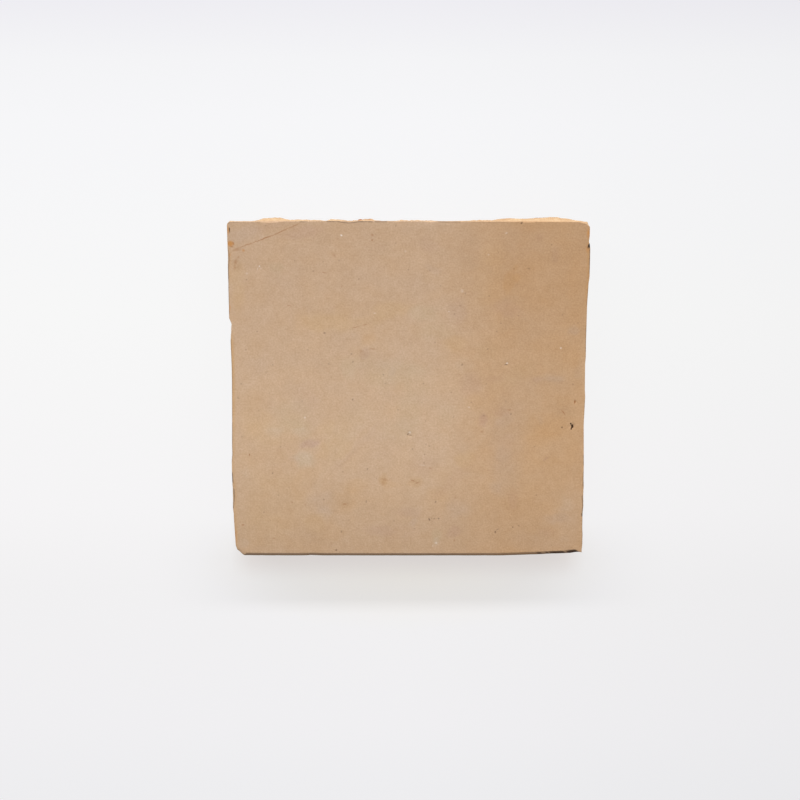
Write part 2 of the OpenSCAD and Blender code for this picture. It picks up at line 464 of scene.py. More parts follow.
# Soft stains: x and y of each, half length, half width, degrees turned, tint and strength.
OLIVE, GREY, PALE = (0.975, 1.01, 1.01), (0.975, 0.995, 1.045), (1.015, 1.05, 1.11)
OCHRE, ORANGE, MAUVE, DARK = (1.01, 0.995, 0.92), (0.99, 0.93, 0.81), (0.955, 0.94, 0.975), (0.93, 0.91, 0.88)
for x, y, half_length, half_width, turn, tint, strength in [
    (-45.5, 46.6, 4.2, 2.4, 18, GREY, 1.0),
    (-41.0, 46.0, 0.8, 0.8, 0, PALE, 0.8),
    (-38.0, 48.6, 5.0, 1.2, 14, MAUVE, 0.6),
    (-29.5, 47.0, 6.0, 1.8, 10, MAUVE, 0.9),
    (-47.6, 31.0, 2.2, 7.0, 0, OCHRE, 0.8),
    (-36.5, 36.8, 2.2, 1.5, 0, OLIVE, 0.8),
    (-22.0, 20.5, 8.0, 3.0, -5, OCHRE, 0.9),
    (-5.0, 24.3, 5.5, 2.4, 14, OCHRE, 0.9),
    (4.5, 23.5, 4.5, 2.4, -15, OLIVE, 0.9),
    (7.5, 18.0, 5.0, 2.4, 0, OLIVE, 0.6),
    (7.0, 36.5, 2.2, 1.3, -20, GREY, 0.8),
    (14.0, 24.0, 2.4, 4.0, 0, MAUVE, 0.5),
    (-12.3, 11.6, 1.7, 1.3, 0, MAUVE, 1.0),
    (-5.0, 5.5, 8.0, 4.0, 8, OLIVE, 0.8),
    (0.0, -6.5, 3.5, 7.0, 0, OLIVE, 0.6),
    (-17.0, 7.0, 2.2, 3.2, 0, OLIVE, 0.9),
    (-4.6, 6.6, 1.2, 1.2, 0, GREY, 0.7),
    (-32.5, -6.5, 5.0, 5.0, 0, OLIVE, 0.7),
    (-46.0, 1.5, 1.8, 1.8, 0, PALE, 0.4),
    (-43.0, -8.0, 4.5, 9.0, 20, OCHRE, 0.7),
    (-38.0, -12.0, 2.6, 1.9, 0, PALE, 0.9),
    (-30.4, -12.2, 2.4, 1.9, 0, PALE, 0.9),
    (-34.0, -10.5, 6.0, 2.4, 0, OLIVE, 0.6),
    (-28.0, -15.6, 2.8, 1.1, 5, MAUVE, 1.8),
    (-29.5, -20.3, 2.8, 2.6, 0, PALE, 1.2),
    (-29.5, -20.3, 2.8, 2.6, 0, OLIVE, 1.0),
    (-32.6, -20.0, 1.6, 1.4, 0, GREY, 0.8),
    (-46.3, -24.0, 1.0, 2.2, 0, PALE, 0.5),
    (-20.5, -20.0, 6.5, 1.2, 50, PALE, 0.35),
    (-18.2, -20.8, 5.6, 0.7, 47, DARK, 0.45),
    (-19.6, -19.0, 6.0, 1.2, 47, OCHRE, 0.5),
    (-11.5, -8.5, 7.0, 1.4, 42, PALE, 0.3),
    (-26.5, -29.5, 5.5, 1.1, 62, PALE, 0.25),
    (-24.5, -33.5, 4.5, 3.4, 0, GREY, 1.0),
    (-23.7, -37.0, 2.0, 2.6, 0, PALE, 0.8),
    (-35.0, -42.5, 0.7, 1.3, 0, PALE, 0.5),
    (-28.0, -45.0, 3.5, 3.0, 0, DARK, 0.7),
    (-41.0, -45.0, 1.7, 1.2, 0, DARK, 0.6),
    (-47.4, -46.4, 1.5, 1.5, 0, PALE, 1.1),
    (-8.0, -42.5, 5.0, 1.5, 0, MAUVE, 0.6),
    (0.0, -36.8, 3.5, 1.8, 0, MAUVE, 0.7),
    (1.3, -39.8, 0.9, 1.1, 0, GREY, 1.0),
    (8.0, -44.0, 1.5, 2.6, 0, OLIVE, 1.2),
    (8.1, -46.0, 0.9, 1.4, 0, PALE, 1.4),
    (13.0, -42.8, 2.0, 1.9, 0, MAUVE, 1.2),
    (14.0, -35.5, 3.6, 3.0, 0, GREY, 0.7),
    (16.5, -20.5, 3.0, 2.8, 0, OCHRE, 0.8),
    (13.5, 8.0, 2.0, 1.6, 0, PALE, 0.35),
    (13.0, 14.5, 3.0, 2.6, 0, OCHRE, 0.7),
    (17.5, 2.0, 3.0, 3.6, -20, MAUVE, 0.8),
    (24.0, 4.0, 2.4, 1.2, 0, MAUVE, 0.5),
    (21.3, -8.6, 1.2, 2.2, 12, MAUVE, 1.8),
    (27.5, -8.5, 2.8, 2.2, 20, GREY, 1.0),
    (26.5, -5.8, 3.0, 1.2, 0, MAUVE, 0.7),
    (27.0, -18.5, 2.4, 2.4, 0, GREY, 1.0),
    (25.0, -29.0, 1.8, 1.5, 0, GREY, 1.1),
    (30.0, -33.5, 1.6, 3.0, 0, MAUVE, 0.8),
    (27.5, 24.5, 4.0, 2.4, -15, MAUVE, 0.8),
    (29.0, 27.5, 3.0, 1.4, 0, GREY, 0.6),
    (28.0, 32.6, 1.3, 3.0, -8, ORANGE, 0.8),
    (30.3, 34.0, 1.2, 1.4, 0, ORANGE, 0.7),
    (29.4, 36.8, 0.7, 1.2, -15, ORANGE, 0.5),
    (36.5, 45.2, 1.3, 1.2, 0, MAUVE, 0.7),
    (41.0, 40.5, 1.4, 2.0, 0, MAUVE, 0.7),
    (41.0, 4.0, 3.0, 1.3, 0, GREY, 1.0),
    (36.4, 3.7, 1.6, 1.2, 0, MAUVE, 0.8),
    (46.0, 18.3, 1.5, 1.7, 0, GREY, 1.6),
    (48.0, 6.0, 1.0, 2.0, 0, GREY, 0.8),
    (37.0, -8.3, 0.7, 1.3, 0, GREY, 1.0),
    (40.5, -10.5, 5.5, 3.6, -10, ORANGE, 0.35),
    (44.0, -2.6, 2.2, 2.0, 0, ORANGE, 0.3),
    (46.8, 29.0, 2.6, 11.0, 0, ORANGE, 0.3),
    (40.0, -18.0, 4.0, 2.4, 0, PALE, 0.25),
    (39.3, -19.9, 0.65, 0.35, 25, MAUVE, 2.0),
    (45.3, -34.5, 2.0, 2.6, -20, PALE, 1.1),
    (42.5, -38.6, 3.4, 1.4, 8, GREY, 1.2),
    (44.8, -45.0, 1.2, 1.3, 0, PALE, 0.5),
    (40.0, -43.0, 2.5, 1.2, 0, MAUVE, 0.6),
    (42.0, -38.0, 12.0, 12.0, 0, PALE, 0.5),
    (42.0, -44.0, 12.0, 6.0, 0, GREY, 0.5),
    (28.0, -14.0, 5.0, 16.0, 0, GREY, 1.2),
    (27.5, 21.5, 2.0, 3.0, 0, GREY, 0.6),
    (16.0, 19.5, 5.0, 2.0, 0, DARK, 0.25),
    (38.5, 4.5, 4.5, 1.6, 0, PALE, 0.5),
    (37.0, 7.0, 12.0, 7.0, 0, PALE, 0.35),
    (31.5, -16.0, 7.0, 14.0, 0, PALE, 0.3),
    (7.0, 20.5, 6.0, 2.0, 0, PALE, 0.3),
    (-11.5, 15.5, 2.2, 1.8, 0, ORANGE, 0.4),
    (-10.5, 21.0, 3.5, 1.4, 0, OCHRE, 0.4),
    (-7.0, -2.0, 3.0, 3.0, 0, GREY, 0.4),
    (-7.0, -16.0, 6.0, 4.0, 0, GREY, 0.5),
    (-21.0, -16.0, 6.0, 3.0, 45, OCHRE, 0.4),
    (-15.5, -28.5, 4.0, 2.4, 0, ORANGE, 0.4),
    (-5.5, -28.3, 2.5, 1.8, 0, ORANGE, 0.4),
    (1.8, -27.5, 2.2, 1.8, 0, ORANGE, 0.4),
    (-35.5, -35.0, 3.0, 3.0, 0, DARK, 0.3),
    (-37.0, -21.0, 8.0, 5.0, 0, MAUVE, 0.4),
    (15.0, -38.5, 3.0, 3.4, 0, PALE, 0.4),
    (45.0, -38.0, 3.4, 4.0, 0, GREY, 0.5),
    (36.0, -46.0, 10.0, 3.0, 0, GREY, 0.6),
    (48.0, -28.0, 2.5, 6.0, 0, GREY, 0.5),
    (49.5, 8.0, 1.5, 9.0, 0, PALE, 0.5),
    (28.5, 45.5, 3.0, 3.0, 0, PALE, 0.4),
    (15.0, 43.5, 4.0, 3.0, 0, DARK, 0.2),
    (-6.9, -27.0, 1.2, 1.8, 0, DARK, 0.5),
    (-6.9, -27.0, 1.2, 1.8, 0, ORANGE, 0.6),
    (1.8, -27.0, 1.7, 0.8, -20, DARK, 0.7),
    (-47.6, 37.6, 1.0, 1.9, 0, DARK, 1.0),
    (-18.3, -34.0, 1.7, 1.1, 0, DARK, 0.9),
    (-18.6, -32.2, 1.7, 1.5, 0, DARK, 0.4),
    (-19.0, -43.0, 0.6, 1.0, 0, DARK, 0.6),
    (32.0, -3.0, 7.0, 7.0, 0, PALE, 0.4),
    (29.5, -26.0, 6.0, 6.0, 0, PALE, 0.4),
    (25.5, -29.0, 3.0, 2.6, 0, PALE, 0.5),
    (21.8, -12.0, 1.0, 5.0, -25, PALE, 0.5),
    (46.0, -38.0, 4.5, 9.0, 0, PALE, 0.6),
    (39.0, -1.0, 9.0, 7.0, 0, GREY, 0.5),
    (33.0, 19.0, 5.0, 6.0, 0, GREY, 0.4),
    (20.5, 22.5, 2.4, 1.8, 0, DARK, 0.3),
    (26.0, 26.0, 1.8, 1.8, 0, PALE, 0.5),
    (14.0, 24.0, 3.0, 3.6, 0, GREY, 0.7),
    (-20.0, -6.0, 5.0, 6.0, 0, DARK, 0.2),
    (-10.5, 9.0, 5.0, 3.4, 0, GREY, 0.7),
    (-46.0, 46.5, 4.0, 2.6, 20, PALE, 0.5),
    (-17.0, 24.5, 3.2, 3.0, 0, DARK, 0.25),
    (3.0, 30.0, 4.0, 4.0, 0, GREY, 0.5),
    (40.8, 41.0, 2.0, 2.4, 0, PALE, 0.4),
    (28.3, 32.5, 1.5, 2.0, 0, GREY, 0.5),
    (46.0, 18.5, 2.0, 2.4, 0, PALE, 0.4),
    (13.0, 41.0, 5.0, 6.0, 0, DARK, 0.2),
    (-2.0, 36.0, 3.0, 4.0, 0, DARK, 0.2),
    (28.0, -15.0, 2.0, 2.4, 0, MAUVE, 0.4),
    (38.0, 3.5, 6.0, 2.0, 0, GREY, 0.5),
    (17.0, 41.0, 3.0, 8.0, 0, DARK, 0.4),
    (22.5, 35.0, 4.0, 11.0, -10, OCHRE, 0.4),
    (29.5, 44.0, 6.0, 5.0, 0, GREY, 0.4),
    (37.0, 44.5, 4.0, 4.0, 0, PALE, 0.5),
    (36.0, 21.0, 6.0, 5.0, 0, PALE, 0.4),
    (30.0, 5.0, 6.0, 2.5, 30, OLIVE, 0.4),
    (22.0, 12.0, 4.0, 3.0, 0, OLIVE, 0.3),
    (10.0, 26.0, 5.0, 2.6, 0, PALE, 0.4),
    (2.5, 22.5, 3.2, 2.6, 0, PALE, 0.4),
    (-11.8, 18.5, 2.6, 3.6, 0, ORANGE, 0.3),
    (-30.0, 21.5, 2.2, 3.6, 0, ORANGE, 0.3),
    (-18.5, 24.0, 3.0, 2.0, 0, OCHRE, 0.3),
    (-20.3, 40.5, 2.2, 1.6, 0, ORANGE, 0.3),
    (-12.5, 9.5, 3.4, 2.4, 0, OLIVE, 0.5),
    (-18.0, 15.0, 6.0, 3.6, 0, GREY, 0.3),
    (-30.0, 34.0, 8.0, 4.0, 10, GREY, 0.3),
    (-14.0, 33.0, 8.0, 4.0, 10, GREY, 0.3),
    (-38.0, -22.5, 9.0, 6.5, 0, OCHRE, 0.5),
    (-36.0, -14.0, 3.0, 2.2, 0, OCHRE, 0.4),
    (-23.5, -10.5, 2.6, 2.4, 0, OCHRE, 0.5),
    (-24.0, -17.5, 2.0, 3.0, 0, ORANGE, 0.3),
    (-30.0, -28.0, 3.0, 5.0, -30, ORANGE, 0.3),
    (-38.0, -35.0, 10.0, 8.0, 0, OCHRE, 0.4),
    (-42.0, -42.0, 7.0, 6.0, 0, OCHRE, 0.3),
    (-27.0, -40.0, 3.4, 3.0, 0, OCHRE, 0.5),
    (-22.0, -43.0, 4.0, 2.6, 0, ORANGE, 0.3),
    (-18.0, -33.0, 5.0, 3.6, 25, ORANGE, 0.45),
    (-18.0, -11.0, 9.0, 4.0, 50, OLIVE, 0.4),
    (-4.0, -12.0, 4.0, 3.0, 0, OLIVE, 0.4),
    (2.5, 3.5, 4.0, 5.0, 0, OLIVE, 0.4),
    (-9.0, -20.0, 5.0, 4.0, 0, GREY, 0.3),
    (-44.0, -4.0, 5.0, 4.0, 0, MAUVE, 0.4),
    (-29.0, -3.0, 4.0, 5.0, 0, MAUVE, 0.4),
    (-29.5, -12.5, 2.2, 3.0, 0, OLIVE, 0.5),
    (-42.5, 8.0, 4.0, 3.0, 0, GREY, 0.4),
    (-14.0, -15.5, 11.0, 0.9, 47, PALE, 0.3),
    (-15.0, -17.5, 9.0, 1.0, 47, MAUVE, 0.3),
    (4.5, -22.5, 4.0, 2.4, 0, MAUVE, 0.5),
    (14.0, -25.5, 9.0, 1.6, 45, MAUVE, 0.4),
    (8.0, -31.0, 3.0, 2.2, 0, ORANGE, 0.3),
    (12.5, -38.5, 3.0, 4.0, 0, GREY, 0.4),
    (-3.0, -43.0, 6.0, 3.0, 0, MAUVE, 0.4),
    (0.5, -36.0, 3.0, 2.4, 0, PALE, 0.3),
    (5.5, 43.0, 2.6, 2.4, 0, MAUVE, 0.5),
    (-5.0, 42.0, 4.0, 2.0, 0, PALE, 0.3),
    (-7.0, 22.0, 5.0, 7.0, 0, DARK, 0.2),
    (9.5, 8.0, 2.0, 4.0, 0, DARK, 0.3),
    (15.5, 8.5, 2.4, 2.0, 0, PALE, 0.4),
    (18.5, -3.0, 2.6, 2.2, 0, ORANGE, 0.3),
    (11.0, -6.5, 3.0, 3.0, 0, OLIVE, 0.3),
    (44.5, -6.0, 2.6, 3.0, 0, DARK, 0.4),
    (38.5, -14.0, 4.0, 2.6, 0, ORANGE, 0.3),
    (42.0, 13.0, 2.6, 1.8, 0, DARK, 0.3),
    (45.5, 9.5, 2.6, 3.0, 0, ORANGE, 0.2),
    (-22.0, 2.0, 12.0, 10.0, 0, GREY, 0.2),
    (2.0, 12.0, 8.0, 10.0, 0, GREY, 0.3),
    (10.0, -15.0, 9.0, 8.0, 0, GREY, 0.3),
    (-38.0, 20.0, 9.0, 12.0, 0, GREY, 0.2),
    (-46.0, 38.0, 3.0, 5.0, 0, PALE, 0.3),
    (-46.0, -20.0, 3.0, 8.0, 0, DARK, 0.2),
    (-5.0, 45.0, 20.0, 3.0, 0, DARK, 0.2),
]:
    c, s = cos(radians(turn)), sin(radians(turn))
    off_x, off_y = stray_x - x, stray_y - y
    away = np.hypot((off_x * c + off_y * s) / half_length, (off_y * c - off_x * s) / half_width)
    skin_colour *= 1 + strength * smooth_step(-away, -1.4, -0.5)[:, None] * (np.array(tint) - 1)

# Warmer strips about 1 mm wide beside the right and the left edge, where the skin thins: side, place, half
# length, softness and how thin.
thin = np.zeros(rim_steps)
for name, middle, half_length, soft, thinning in [
    ("right", 36.0, 9.0, 4.0, 1.0),
    ("left", 4.0, 13.0, 4.0, 1.4),
    ("left", -32.0, 14.0, 6.0, 0.7),
    ("left", 38.0, 4.0, 3.0, 0.5),
    ("left", -14.0, 5.0, 3.0, 0.8),
]:
    thin += thinning * stretch(name, middle, half_length, soft)
thin_share = over_surface(thin * smooth_step(-face_inset[:, None], -1.2, -0.3), thin, 0.0, 0.0, 0.0)
skin_colour *= 1 + thin_share[:, None] * (np.array(ORANGE) - 1)

# Iron-rich patches in the break, ellipses with a wandering outline: side, place, half length, depth, half
# depth, and strength.
rusty = np.zeros((len(wall_depth), rim_steps))
wander = 0.6 * rough_noise(wall_points, 3.0, 3, 91)
for name, middle, half_length, depth, half_depth, strength in [
    ("top", -11.3, 3.2, 11.0, 5.0, 1.8),
    ("top", 37.2, 2.4, 11.6, 2.4, 1.5),
    ("top", 28.5, 5.0, 11.6, 1.4, 0.6),
    ("top", -32.0, 4.0, 11.6, 1.4, 0.4),
    ("right", 12.0, 8.0, 8.0, 3.0, 0.35),
    ("right", -30.0, 5.0, 4.0, 2.5, 0.3),
    ("bottom", 18.0, 9.0, 7.5, 3.0, 0.35),
    ("bottom", -27.0, 5.0, 4.5, 2.5, 0.3),
    ("left", 19.0, 2.0, 1.0, 1.4, 0.7),
    ("left", -12.0, 8.0, 8.5, 3.0, 0.35),
]:
    away = np.hypot((place - middle) / half_length, (wall_depth[:, None] - depth) / half_depth) + wander
    rusty = np.maximum(rusty, strength * smooth_step(-away, -1.6, -0.3) * (side == name))
rust = over_surface(0.0, rusty, 0.0, 0.0, 0.0)

for name, values in (("bare_clay", bare), ("edge_dirt_and_shade", edge_dirt_and_shade), ("rust", rust)):
    tile_mesh.attributes.new(name, "FLOAT", "POINT").data.foreach_set("value", values.astype(np.float32))
colours = np.concatenate([skin_colour, np.ones((len(vertices), 1))], 1).astype(np.float32)
tile_mesh.attributes.new("skin_colour", "FLOAT_COLOR", "POINT").data.foreach_set("color", colours.ravel())

# Its material
# Unglazed zellige earthenware: a smoothed buff skin, sandy and quite matt, over a paler peach break.
# The eye gets slow changes from beige to warm tan, fine sand grain, and a few specks, pits and scratches.


def add_node(tree, kind, inputs=None, **settings):
    """Adds one shader node: its settings, and its inputs as constants or as other nodes' outputs."""
    made = tree.nodes.new("ShaderNode" + kind)
    for name, value in settings.items():
        setattr(made, name, value)
    for key, value in (inputs or {}).items():
        if isinstance(value, bpy.types.NodeSocket):
            tree.links.new(value, made.inputs[key])
        else:
            made.inputs[key].default_value = value
    return made


fired_clay = bpy.data.materials.new("unglazed_fired_clay")
fired_clay.use_nodes = True
tree = fired_clay.node_tree
tree.nodes.clear()


def per_mm(size):
    """The scale at which a texture on metres repeats about once in this many millimetres."""
    return 1 / (size * MM)


def calculate(operation, *values, **settings):
    """The result of one Math node on constants or other nodes' outputs."""
    return add_node(tree, "Math", dict(enumerate(values)), operation=operation, **settings).outputs[0]


def level_between(value, start, end, low=0.0, high=1.0, **settings):
    """Goes from low to high as the value goes from start to end, and stays level beyond them."""
    return add_node(tree, "MapRange", {
        "Value": value, "From Min": start, "From Max": end, "To Min": low, "To Max": high,
    }, **settings).outputs[0]


def blend_colours(share, first, second, how="MIX"):
    """Mixes two colours by a share. Inputs 6 and 7 of a Mix node are its colours, output 2 the blend."""
    return add_node(tree, "Mix", {0: share, 6: first, 7: second}, data_type="RGBA", blend_type=how).outputs[2]


def noise_level(size, low, high, detail=2.0, roughness=0.55):
    """A level that wanders between low and high with a noise of this size in millimetres."""
    noise = add_node(tree, "TexNoise", {
        "Vector": where, "Scale": per_mm(size), "Detail": detail, "Roughness": roughness,
    })
    return level_between(noise.outputs[0], 0.25, 0.75, low, high)


where = add_node(tree, "TexCoord").outputs["Object"]
skin = add_node(tree, "Attribute", attribute_name="skin_colour").outputs["Color"]

# Sand grain of 0.5 mm and soft mottles of 1.6 mm, darker and lighter.
grain = noise_level(0.5, 0.0, 1.0)
mottle = noise_level(1.6, 0.0, 1.0)
sandy = blend_colours(grain, (0.915, 0.885, 0.855, 1), (1.085, 1.115, 1.145, 1))
mottled = blend_colours(mottle, (0.965, 0.953, 0.932, 1), (1.035, 1.047, 1.068, 1))
skin = blend_colours(1.0, skin, sandy, "MULTIPLY")
skin = blend_colours(1.0, skin, mottled, "MULTIPLY")

# Pinholes up to 0.5 mm wide, painted as shade that is not quite dark, since the mesh has no holes there: the
# middles of about one in four Voronoi cells 2.6 mm across.
HOLE_SHADE = 0.3
cells = add_node(tree, "TexVoronoi", {"Vector": where, "Scale": per_mm(2.6)})
chosen = calculate("GREATER_THAN", cells.outputs["Color"], 0.7)
pinhole_painted_shade = level_between(cells.outputs["Distance"], 0.13, 0.05, 0.0, HOLE_SHADE)
skin = blend_colours(calculate("MULTIPLY", chosen, pinhole_painted_shade), skin, srgb("#6d5038"))

# Marks on the face: x and y of each in millimetres from the middle, half length, half width, degrees turned
# and weight, in groups of one colour. Their outlines stray a little. A mark has half its weight at its own
# half length and half width.
MARK_STRAY = 0.5 * MM
MARK_DEPTH = 2.0 * MM             # how far a mark goes into the clay
CONE_REACH = 1.3                  # where its cone ends, as a share of its half sizes
CONE_HEIGHT = 2.2
wobble = add_node(tree, "TexNoise", {"Vector": where, "Scale": per_mm(0.9), "Detail": 1.0})
shift = add_node(tree, "VectorMath", {0: wobble.outputs["Color"], 1: (0.5, 0.5, 0.5)}, operation="SUBTRACT")
strayed = add_node(tree, "VectorMath", {0: shift.outputs[0], 1: (MARK_STRAY, MARK_STRAY, 0.0), 2: where},
                   operation="MULTIPLY_ADD").outputs[0]


def marks_cover(marks):
    """How much a group of marks covers the clay: the sum of a cone over each, cut off at 1."""
    cover = 0.0
    for x, y, half_length, half_width, turn, weight in marks:
        own = add_node(tree, "Mapping", {
            "Vector": strayed,
            "Location": (x * MM, y * MM, tile_t * MM),
            "Rotation": (0, 0, radians(turn)),
            "Scale": (CONE_REACH * half_length * MM, CONE_REACH * half_width * MM, MARK_DEPTH),
        }, vector_type="TEXTURE")
        cone = add_node(tree, "TexGradient", {"Vector": own.outputs[0]}, gradient_type="SPHERICAL")
        cover = calculate("MULTIPLY_ADD", cone.outputs[1], CONE_HEIGHT * weight, cover, use_clamp=True)
    return cover


stain_and_crease_shade_marks = [
    # the crease where the clay was folded over, its dark line painted shade, and the stains at its foot
    (-44.6, 43.4, 3.2, 0.18, 20, 0.29), (-39.8, 45.2, 2.8, 0.16, 21, 0.44), (-35.1, 47.2, 2.8, 0.18, 26, 0.35),
    (-31.2, 49.0, 1.8, 0.15, 28, 0.29), (-47.4, 42.0, 1.3, 0.5, 10, 0.2),
    (-48.5, 43.7, 0.22, 0.5, 0, 0.48), (-49.0, 42.8, 0.5, 0.25, -20, 0.41), (-47.9, 38.4, 0.45, 0.9, -15, 0.22),
    (-48.2, 36.9, 0.4, 0.7, 0, 0.19), (-47.1, 39.8, 0.3, 0.5, -20, 0.23),
    # dashes and dots from the left to the right
    (-45.2, -18.9, 0.25, 0.35, 0, 0.48), (-47.5, -40.6, 0.4, 0.28, 0, 0.37), (-38.5, -44.7, 0.6, 0.2, 0, 0.22),
    (-33.2, 25.7, 0.6, 0.15, 0, 0.26), (-33.3, -33.5, 0.3, 0.25, 0, 0.28), (-29.5, -34.3, 0.3, 0.35, 0, 0.13),
    (-23.5, 35.3, 0.7, 0.2, -10, 0.23), (-22.1, -46.3, 0.28, 0.25, 0, 0.12), (-20.6, 40.4, 0.5, 0.7, 30, 0.15),
    (-19.6, 45.1, 0.4, 0.15, 20, 0.2), (-18.5, 31.3, 0.25, 0.4, 0, 0.14), (-18.1, -34.1, 0.7, 0.3, 0, 0.27),
    (-14.8, 19.3, 0.9, 0.16, 12, 0.35), (-12.1, 20.1, 0.55, 0.16, 12, 0.24), (-13.3, 12.3, 0.35, 0.4, 0, 0.15),
    (-10.0, 12.9, 1.0, 0.25, 0, 0.18), (-10.0, 46.2, 0.42, 0.45, 0, 0.28), (-10.1, 44.8, 0.32, 0.2, 0, 0.47),
    (-6.8, -26.5, 0.8, 0.5, 0, 0.15), (-7.2, -27.7, 0.5, 0.5, 0, 0.13), (1.4, -26.9, 0.6, 0.25, -30, 0.32),
    (2.6, -27.5, 0.6, 0.22, 10, 0.32), (6.3, -23.0, 0.5, 0.3, 20, 0.21), (13.3, -45.4, 0.3, 0.3, 0, 0.21),
    (13.5, -32.0, 0.3, 0.5, 0, 0.14), (20.9, -12.0, 0.5, 0.4, 0, 0.22), (28.5, -5.3, 0.6, 0.25, 0, 0.3),
    (43.9, -6.0, 0.9, 0.22, -55, 0.39), (47.1, -3.0, 0.2, 0.75, 0, 0.58),
]
rust_marks = [
    (-49.3, 43.7, 0.85, 0.85, 0, 0.75), (-49.5, 40.5, 0.3, 0.7, 0, 0.25), (-49.8, 47.6, 0.3, 1.6, 0, 0.5),
    (-49.9, 19.0, 0.35, 1.4, 0, 0.6), (-49.9, 25.0, 0.25, 1.2, 0, 0.4), (49.7, 46.8, 0.5, 1.6, 0, 0.5),
    (49.6, 42.0, 0.5, 1.0, 0, 0.3), (-45.7, 41.7, 0.45, 0.45, 0, 0.41), (-49.6, -44.0, 0.35, 2.6, 0, 0.3),
]
lime_and_highlight_marks = [
    # White lime specks; the one at 0.45, -12.25 is a painted highlight on the upper side of a crater.
    (-18.5, 46.1, 0.33, 0.33, 0, 0.48), (-41.3, 37.2, 0.22, 0.25, 0, 0.31), (-41.8, 36.5, 0.15, 0.45, -20, 0.18),
    (-40.9, 36.6, 0.12, 0.35, 20, 0.16), (-44.8, 35.1, 0.35, 0.35, 0, 0.11), (-29.3, -7.6, 0.3, 0.3, 0, 0.23),
    (-9.4, 23.5, 0.4, 0.18, 0, 0.24), (-0.8, 41.5, 0.45, 0.4, 0, 0.08), (0.45, -12.25, 0.36, 0.32, 0, 0.29),
    (4.0, -22.1, 1.1, 0.15, -3, 0.1), (7.1, -47.1, 0.15, 0.45, -15, 0.14), (8.1, -46.2, 0.35, 0.35, 0, 0.17),
    (11.3, 24.0, 0.22, 0.22, 0, 0.19), (15.0, 30.0, 0.5, 0.5, 0, 0.1), (17.2, -4.5, 0.35, 0.2, 0, 0.16),
    (22.2, 40.5, 0.3, 0.25, 0, 0.13), (27.0, 46.8, 0.35, 0.22, 0, 0.18), (27.7, 8.65, 0.33, 0.27, 0, 0.51),
    (42.7, 13.2, 0.28, 0.28, 0, 0.3),
]
soot_and_shade_marks = [
    # the black crack near the right edge and the dark rims of the two craters, both painted shade, and the dark
    # ends of the sides
    (46.1, -9.6, 0.22, 0.32, 0, 1.0), (46.55, -10.3, 0.32, 0.5, 0, 1.2), (46.2, -11.0, 0.2, 0.38, -10, 1.0),
    (-49.4, 47.7, 0.14, 0.75, 0, 0.8), (50.1, 43.2, 0.3, 0.6, 0, 1.0),
    (-0.05, -12.75, 0.3, 0.36, 0, 0.3), (0.7, -13.0, 0.5, 0.2, 0, 0.25), (27.4, 8.15, 0.5, 0.18, 0, 0.36),
    # dots and dashes from the left to the right
    (-48.0, -1.7, 0.35, 0.3, 0, 0.13), (-40.0, 6.0, 0.4, 0.3, 0, 0.06), (-38.7, -24.5, 0.2, 0.38, 0, 0.24),
    (-38.1, 8.2, 0.28, 0.25, 0, 0.15), (-36.3, -16.5, 0.25, 0.25, 0, 0.13), (-28.2, 12.6, 0.3, 0.28, 0, 0.11),
    (-24.2, -32.7, 0.3, 0.28, 0, 0.15), (-23.4, 17.6, 0.45, 0.3, -25, 0.23), (-22.3, 8.5, 0.3, 0.3, 0, 0.11),
    (-20.7, -48.4, 0.3, 0.25, 0, 0.47), (-19.2, -42.7, 0.25, 0.4, 0, 0.2), (-16.0, 11.4, 0.3, 0.3, 0, 0.16),
    (-15.7, -2.2, 0.28, 0.28, 0, 0.27), (-15.6, 9.1, 0.25, 0.25, 0, 0.16), (-12.0, -33.3, 0.2, 0.5, 0, 0.19),
    (-11.6, -23.3, 0.25, 0.3, 0, 0.19), (-7.0, 5.2, 0.22, 0.25, 0, 0.21), (-6.5, 2.6, 0.4, 0.22, -20, 0.13),
    (1.2, -17.2, 0.3, 0.3, 0, 0.2), (6.0, -16.3, 0.32, 0.25, 0, 0.15), (6.05, -38.9, 0.26, 0.5, 20, 0.34),
    (6.8, -38.5, 0.3, 0.15, 30, 0.17), (7.5, -38.6, 0.25, 0.22, 0, 0.22), (7.85, -33.4, 0.24, 0.36, -20, 0.24),
    (8.8, -38.55, 0.3, 0.3, 0, 0.29), (8.9, 31.4, 0.2, 0.25, 0, 0.12), (12.8, -7.5, 0.2, 0.3, 0, 0.12),
    (15.1, 8.2, 0.3, 0.38, 0, 0.18), (15.8, 29.3, 0.28, 0.3, 0, 0.16), (21.4, -7.0, 0.35, 0.25, 0, 0.11),
    (25.15, -42.75, 0.28, 0.35, 0, 0.34), (25.7, -42.0, 0.2, 0.6, -38, 0.2), (29.1, -6.6, 0.2, 0.2, 0, 0.41),
    (30.0, -41.3, 0.22, 0.22, 0, 0.35), (31.8, -40.8, 0.28, 0.25, 0, 0.2), (33.4, 36.5, 0.5, 0.2, 0, 0.18),
    (39.5, 43.4, 0.25, 0.25, 0, 0.23), (43.6, -10.6, 0.3, 0.26, 0, 0.41), (44.5, -11.0, 0.22, 0.18, 0, 0.11),
]
# Stains, and the crease's dark line as painted shade.
skin = blend_colours(marks_cover(stain_and_crease_shade_marks), skin, srgb("#9c693f"))
skin = blend_colours(marks_cover(rust_marks), skin, srgb("#bf8a55"))
# Lime specks, and one painted highlight on a crater.
skin = blend_colours(marks_cover(lime_and_highlight_marks), skin, srgb("#efe4d8"))
# Soot specks, and painted shade in the crack and on the crater rims.
skin = blend_colours(marks_cover(soot_and_shade_marks), skin, srgb("#3b2718"))

